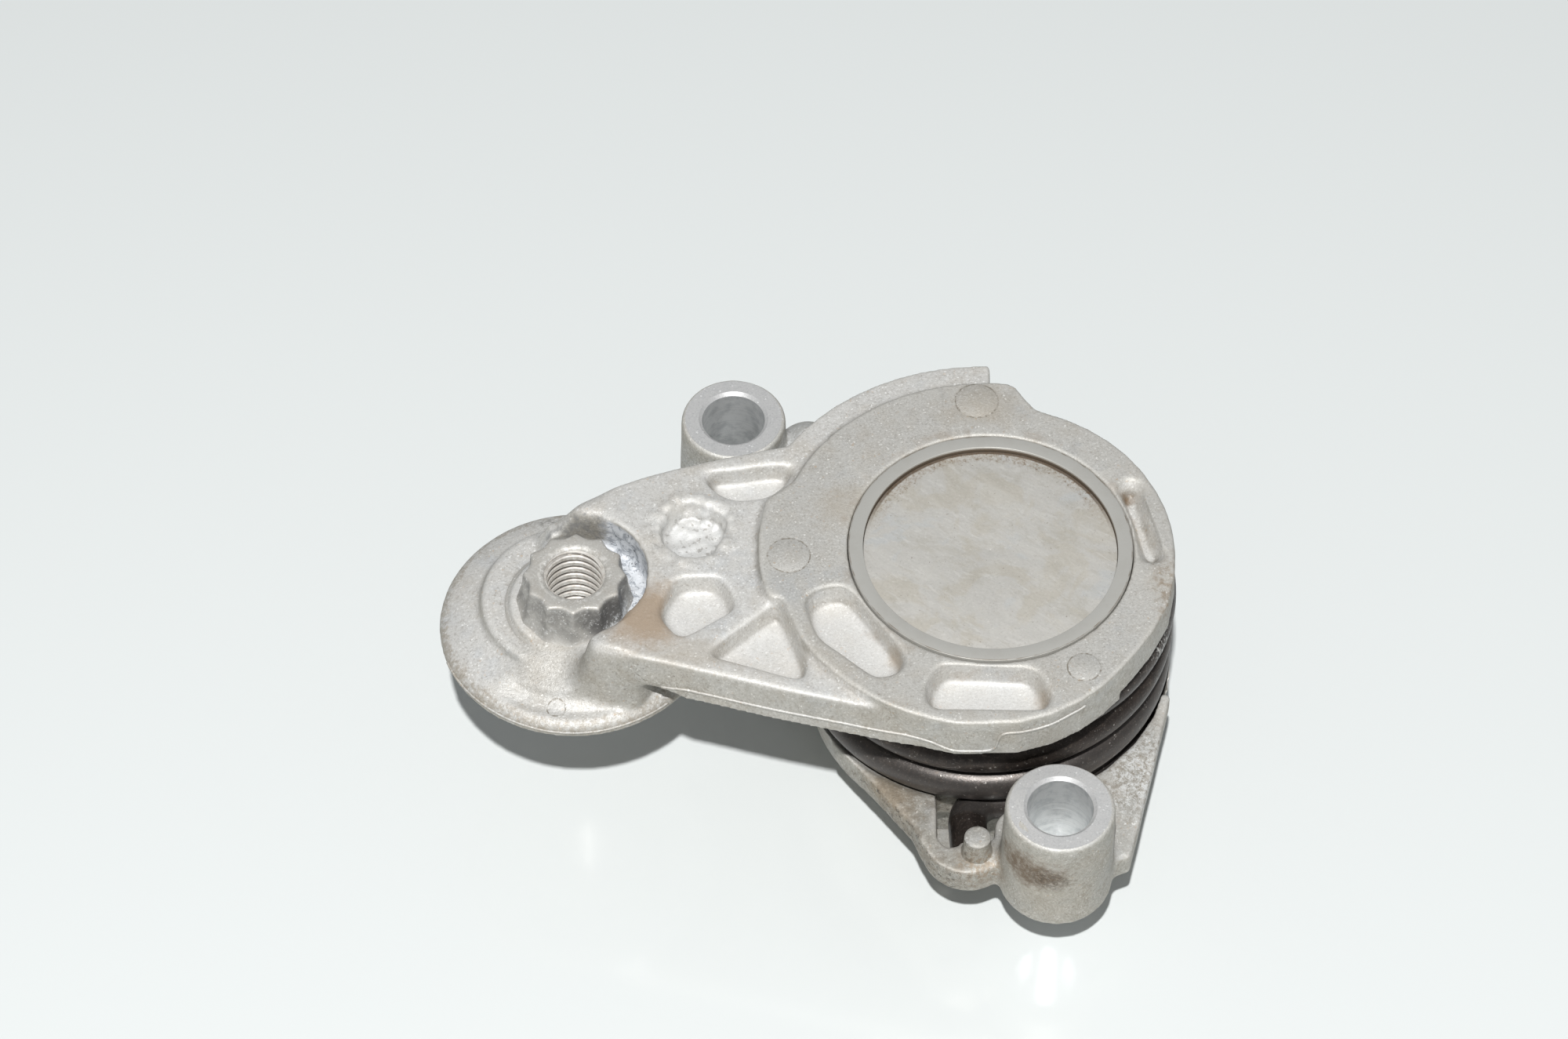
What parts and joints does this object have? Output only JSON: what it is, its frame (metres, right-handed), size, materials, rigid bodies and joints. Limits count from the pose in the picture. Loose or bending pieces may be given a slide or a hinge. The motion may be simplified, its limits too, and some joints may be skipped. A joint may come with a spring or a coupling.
{
  "type": "belt tensioner",
  "caption": "Cast belt tensioner without its pulley: a sprung arm on a flanged base with bolt bosses, a domed bearing seat and a double-hexagon nut at the arm's end",
  "frame": {"origin": "on the pivot axis, at the rear face of the pivot shaft and the base's hub", "axes": "+Z along the pivot axis from the rear face to the front plate; the arm reaches out along -X; +Y runs from the front bolt boss to the back one"},
  "size_m": [0.122, 0.0991, 0.05],
  "materials": {
    "cast_aluminium": "die cast, matt, with grime and tan stains",
    "spring_steel": "black, worn, semi-gloss",
    "plain_steel": "plain, turned",
    "plate_steel": "dull, mottled",
    "bush_plastic": "filled bearing plastic",
    "seal_rubber": "matt"
  },
  "bodies": {
    "base": {"base_housing": "cast_aluminium", "pivot_shaft": "plain_steel", "thrust_washer": "plain_steel", "dust_seal": "seal_rubber", "spring_sleeve": "bush_plastic", "torsion_spring": "spring_steel", "retaining_washer": "plain_steel", "spring_washer": "plain_steel", "front_plate": "plate_steel"},
    "arm": {"tension_arm": "cast_aluminium", "lower_bush": "bush_plastic", "upper_bush": "bush_plastic", "friction_ring": "plain_steel"}
  },
  "joints": [
    {"name": "arm_pivot", "type": "hinge", "parent": "base", "child": "arm", "pos_m": [0, 0, 0.03], "axis": [0, 0, 1], "range_deg": [0, 50], "stiffness_Nm_per_rad": 10, "springref_deg": -51.57, "deforming": ["torsion_spring"]}
  ]
}
